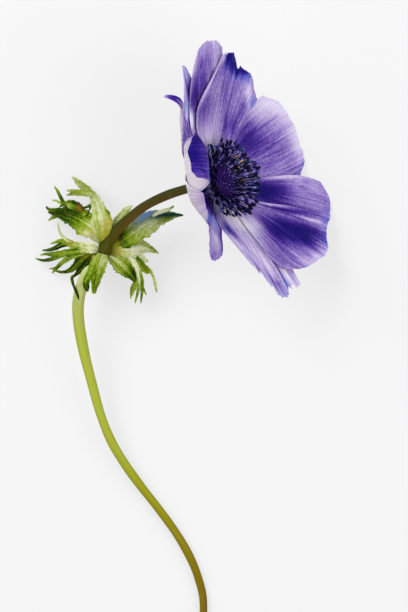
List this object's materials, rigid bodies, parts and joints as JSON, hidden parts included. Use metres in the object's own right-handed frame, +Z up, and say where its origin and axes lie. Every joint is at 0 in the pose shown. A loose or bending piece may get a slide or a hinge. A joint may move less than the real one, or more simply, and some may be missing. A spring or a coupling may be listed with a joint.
{
  "type": "anemone flower",
  "caption": "Cut anemone flower lying on its side: cup of violet petals around a dark ring of stamens, a whorl of cut green bracts and a long curved stem.",
  "frame": {"origin": "on the surface the flower lies on, under the middle of its overall box", "axes": "+Z up from the surface; +Y from the cut end of the stem towards the bloom; +X to the side that the bloom faces"},
  "size_m": [0.0912, 0.2068, 0.0701],
  "materials": {
    "petal": "satin",
    "stamen": "satin",
    "pistil": "matte",
    "stem": "satin",
    "bract": "satin"
  },
  "bodies": {
    "root": {"petal_top_outer": "petal", "petal_top_inner": "petal", "petal_right_upper": "petal", "petal_right_middle": "petal", "petal_right_lower": "petal", "petal_bottom_outer": "petal", "petal_bottom_inner": "petal", "petal_hanging": "petal", "petal_near_lower": "petal", "petal_near_upper": "petal", "petal_curled": "petal", "petal_narrow": "petal", "receptacle": "stem", "pistil_dome": "pistil", "stamens_outer": "stamen", "stamens_middle": "stamen", "stamens_inner": "stamen", "stem": "stem", "bract_upper": "bract", "bract_lower": "bract", "bract_right": "bract"}
  },
  "joints": []
}
